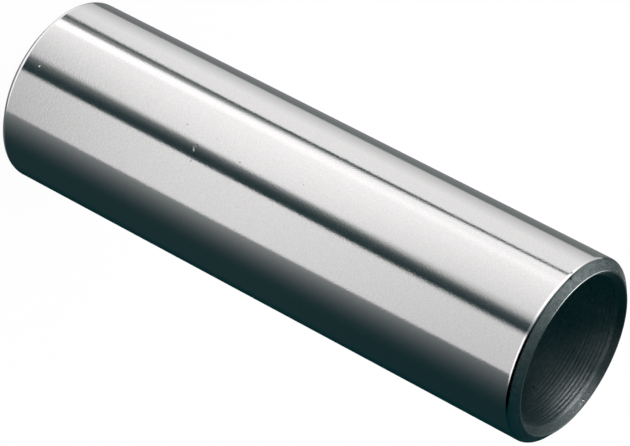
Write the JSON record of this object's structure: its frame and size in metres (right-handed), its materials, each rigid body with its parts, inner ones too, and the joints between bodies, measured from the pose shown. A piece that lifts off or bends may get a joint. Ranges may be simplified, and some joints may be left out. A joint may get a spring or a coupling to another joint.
{
  "type": "gudgeon pin",
  "caption": "Hollow ground steel pin with chamfered ends and a plain through bore, which joins a piston to its connecting rod.",
  "frame": {"origin": "middle of the lower end, on the surface that the pin stands on", "axes": "+Z along the pin's axis, upwards. X and Y are any two directions square to it, because the pin is round."},
  "size_m": [0.022, 0.022, 0.073],
  "materials": {
    "ground_steel": "hardened steel, ground bright outside, with bored feed rings inside"
  },
  "bodies": {
    "root": {"gudgeon_pin": "ground_steel"}
  },
  "joints": []
}
